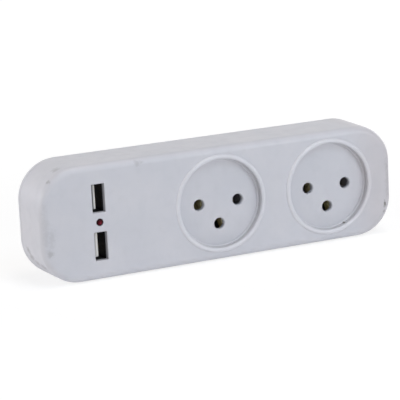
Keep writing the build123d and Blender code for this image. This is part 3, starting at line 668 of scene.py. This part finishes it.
# Painted shade: the tip darkens towards the side that lies near the shell.
painted_tongue_shade = add(tree, "ShaderNodeMapRange", {"Value": along, "From Min": shade_full, "From Max": shade_end,
                                         "To Min": amount, "To Max": 0.0}).outputs[0]
tint = add(tree, "ShaderNodeMix", {0: painted_tongue_shade, A: chalk, B: colour("#3c3c40")},
           data_type="RGBA").outputs[MIXED]
rough = add(tree, "ShaderNodeMapRange", {"Value": fibres, "To Min": 0.42, "To Max": 0.58}).outputs[0]
relief = add(tree, "ShaderNodeBump",
             {"Height": fibres, "Strength": 0.25, "Distance": fibre_depth * MM}).outputs[0]
plug(tree, shader, {"Base Color": tint, "Roughness": rough, "IOR": 1.57, "Normal": relief})
dress(insulator, "upper_usb_tongue", "lower_usb_tongue")

# %% [markdown]
# Four finishes carry two materials each, and one graph shows which is where. On the board, the faces are
# green solder mask over copper tracks and the sawn edges are bare laminate. Waves at right angles make the
# tracks, and the direction of the surface picks out the edges. The bands of a Wave node lie pi / (10 x
# scale) apart, so the scale comes from the pitch of the tracks.

# %% Board
track_pitch, track_height = 2.4, 0.035  # mm
weave_size, area_size = 0.6, 7.0  # mm
face_limit = 0.7  # how squarely a face looks along the depth

mask, tree, shader, place = start_finish("glass laminate, green solder mask")
normal = add(tree, "ShaderNodeNewGeometry").outputs["Normal"]
facing = add(tree, "ShaderNodeSeparateXYZ", {0: normal}).outputs["Y"]
flat = add(tree, "ShaderNodeMath", {0: facing}, operation="ABSOLUTE").outputs[0]
face = add(tree, "ShaderNodeMath", {0: flat, 1: face_limit}, operation="GREATER_THAN").outputs[0]
weave = add(tree, "ShaderNodeTexNoise",
            {"Vector": place, "Scale": 1 / weave_size, "Detail": 2.0}).outputs["Fac"]
areas = add(tree, "ShaderNodeTexNoise",
            {"Vector": place, "Scale": 1 / area_size, "Detail": 0.0}).outputs["Fac"]
crosswise = add(tree, "ShaderNodeMath", {0: areas, 1: 0.5}, operation="GREATER_THAN").outputs[0]
bands = {"Vector": place, "Scale": math.pi / (10 * track_pitch)}
tracks_x = add(tree, "ShaderNodeTexWave", bands, bands_direction="X").outputs["Fac"]
tracks_z = add(tree, "ShaderNodeTexWave", bands, bands_direction="Z").outputs["Fac"]
tracks = add(tree, "ShaderNodeMix", {0: crosswise, 2: tracks_x, 3: tracks_z}).outputs[0]
copper = add(tree, "ShaderNodeMapRange", {"Value": tracks, "From Min": 0.55, "From Max": 0.65}).outputs[0]
green = add(tree, "ShaderNodeMix", {0: copper, A: colour("#1d4f30"), B: colour("#2f7045")},
            data_type="RGBA").outputs[MIXED]
tint = add(tree, "ShaderNodeMix", {0: face, A: colour("#a89a63"), B: green},
           data_type="RGBA").outputs[MIXED]
rough = add(tree, "ShaderNodeMapRange", {"Value": weave, "To Min": 0.22, "To Max": 0.42}).outputs[0]
relief = add(tree, "ShaderNodeBump",
             {"Height": copper, "Strength": 0.5, "Distance": track_height * MM}).outputs[0]
plug(tree, shader, {"Base Color": tint, "Roughness": rough, "IOR": 1.55, "Normal": relief})
dress(mask, "usb_board")

# %% [markdown]
# The capacitors are aluminium cans in a shrunk plastic sleeve, bare on top. The direction of the surface
# picks out the top, which looks to the front, and fine wrinkles give the sleeve its uneven gloss.

# %% Capacitor cans
wrinkle_size, wrinkle_depth = 1.5, 0.05  # mm
top_limit = -0.9  # how squarely the bare top looks to the front

sleeve, tree, shader, place = start_finish("aluminium can, shrunk sleeve")
normal = add(tree, "ShaderNodeNewGeometry").outputs["Normal"]
facing = add(tree, "ShaderNodeSeparateXYZ", {0: normal}).outputs["Y"]
bare = add(tree, "ShaderNodeMath", {0: facing, 1: top_limit}, operation="LESS_THAN").outputs[0]
wrinkles = add(tree, "ShaderNodeTexNoise",
               {"Vector": place, "Scale": 1 / wrinkle_size, "Detail": 3.0}).outputs["Fac"]
film = add(tree, "ShaderNodeMix", {0: wrinkles, A: colour("#27303f"), B: colour("#323d50")},
           data_type="RGBA").outputs[MIXED]
tint = add(tree, "ShaderNodeMix", {0: bare, A: film, B: colour("#bfc1c3")},
           data_type="RGBA").outputs[MIXED]
rough = add(tree, "ShaderNodeMapRange", {"Value": wrinkles, "To Min": 0.2, "To Max": 0.4}).outputs[0]
relief = add(tree, "ShaderNodeBump",
             {"Height": wrinkles, "Strength": 0.2, "Distance": wrinkle_depth * MM}).outputs[0]
plug(tree, shader, {"Base Color": tint, "Metallic": bare, "Roughness": rough, "Normal": relief})
dress(sleeve, "mains_capacitor", "output_capacitors")

# %% [markdown]
# The chip is black epoxy, gritty and dull, with tinned legs that stand out above and below it. Their
# distance from the middle of the board picks them out.

# %% Chip
body_half, grit_size = 2.01, 0.2  # mm
tinned = colour("#c8c9cb")

chip, tree, shader, place = start_finish("chip epoxy with tinned legs")
up = add(tree, "ShaderNodeSeparateXYZ", {0: place}).outputs["Z"]
side = add(tree, "ShaderNodeMath", {0: up}, operation="ABSOLUTE").outputs[0]
legs = add(tree, "ShaderNodeMath", {0: side, 1: body_half}, operation="GREATER_THAN").outputs[0]
grit = add(tree, "ShaderNodeTexNoise",
           {"Vector": place, "Scale": 1 / grit_size, "Detail": 2.0}).outputs["Fac"]
black = add(tree, "ShaderNodeMix", {0: grit, A: colour("#1c1c1d"), B: colour("#2a2a2b")},
            data_type="RGBA").outputs[MIXED]
tint = add(tree, "ShaderNodeMix", {0: legs, A: black, B: tinned}, data_type="RGBA").outputs[MIXED]
rough = add(tree, "ShaderNodeMapRange", {"Value": grit, "To Min": 0.35, "To Max": 0.55}).outputs[0]
plug(tree, shader, {"Base Color": tint, "Metallic": legs, "Roughness": rough})
dress(chip, "controller_chip")

# %% [markdown]
# The resistor is a lacquered rod with colour rings and tinned leads. The distance from its middle along the
# bar tells the leads from the body and places the rings.

# %% Resistor
resistor_x = usb_x + 19.0  # mm, its middle
rod_half, ring_half, sag_size = 3.9, 0.3, 0.8  # mm
rings = {-2.4: "#7a4a26", -1.2: "#1b1b1c", 0.0: "#8f2a22", 1.6: "#b08d3c"}  # mm from the middle

lacquer, tree, shader, place = start_finish("lacquered resistor with rings")
along = add(tree, "ShaderNodeSeparateXYZ", {0: place}).outputs["X"]
offset = add(tree, "ShaderNodeMath", {0: along, 1: resistor_x}, operation="SUBTRACT").outputs[0]
reach = add(tree, "ShaderNodeMath", {0: offset}, operation="ABSOLUTE").outputs[0]
leads = add(tree, "ShaderNodeMath", {0: reach, 1: rod_half}, operation="GREATER_THAN").outputs[0]
sags = add(tree, "ShaderNodeTexNoise",
           {"Vector": place, "Scale": 1 / sag_size, "Detail": 2.0}).outputs["Fac"]
coat = add(tree, "ShaderNodeMix", {0: sags, A: colour("#6f8a80"), B: colour("#627b72")},
           data_type="RGBA").outputs[MIXED]
for ring_place, code in rings.items():
    gap = add(tree, "ShaderNodeMath", {0: offset, 1: ring_place}, operation="SUBTRACT").outputs[0]
    gap = add(tree, "ShaderNodeMath", {0: gap}, operation="ABSOLUTE").outputs[0]
    ring = add(tree, "ShaderNodeMath", {0: gap, 1: ring_half}, operation="LESS_THAN").outputs[0]
    coat = add(tree, "ShaderNodeMix", {0: ring, A: coat, B: colour(code)}, data_type="RGBA").outputs[MIXED]
tint = add(tree, "ShaderNodeMix", {0: leads, A: coat, B: tinned}, data_type="RGBA").outputs[MIXED]
rough = add(tree, "ShaderNodeMapRange", {"Value": sags, "To Min": 0.22, "To Max": 0.42}).outputs[0]
plug(tree, shader, {"Base Color": tint, "Metallic": leads, "Roughness": rough})
dress(lacquer, "fuse_resistor")

# %% [markdown]
# The winding is enamelled wire under a wrap of thin polyester tape. The turns below the tape show as fine
# ribs, which a wave across the axis of the bobbin gives, and the tape itself is yellow, clear and glossy.

# %% Winding
wire_pitch, rib_depth, haze_size = 0.45, 0.05, 2.5  # mm

tape, tree, shader, place = start_finish("polyester tape over wire")
bands = {"Vector": place, "Scale": math.pi / (10 * wire_pitch), "Distortion": 0.4}
ribs = add(tree, "ShaderNodeTexWave", bands, bands_direction="Z").outputs["Fac"]
haze = add(tree, "ShaderNodeTexNoise",
           {"Vector": place, "Scale": 1 / haze_size, "Detail": 2.0}).outputs["Fac"]
tint = add(tree, "ShaderNodeMix", {0: ribs, A: colour("#a8761f"), B: colour("#d6ab35")},
           data_type="RGBA").outputs[MIXED]
rough = add(tree, "ShaderNodeMapRange", {"Value": haze, "To Min": 0.15, "To Max": 0.35}).outputs[0]
relief = add(tree, "ShaderNodeBump",
             {"Height": ribs, "Strength": 0.5, "Distance": rib_depth * MM}).outputs[0]
plug(tree, shader, {"Base Color": tint, "Roughness": rough, "IOR": 1.6, "Normal": relief})
dress(tape, "transformer_winding")

# %% [markdown]
# The dressed part keeps the size of the CAD model. Both boxes, each as its lowest and highest corner in
# metres, are compared, and the largest difference is printed.

# %% Compare the boxes
growth = np.abs(np.subtract([list(c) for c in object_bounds()], [list(c) for c in cad_box])).max()
print("boxes differ by", round(float(growth) / MM, 3), "mm at most")
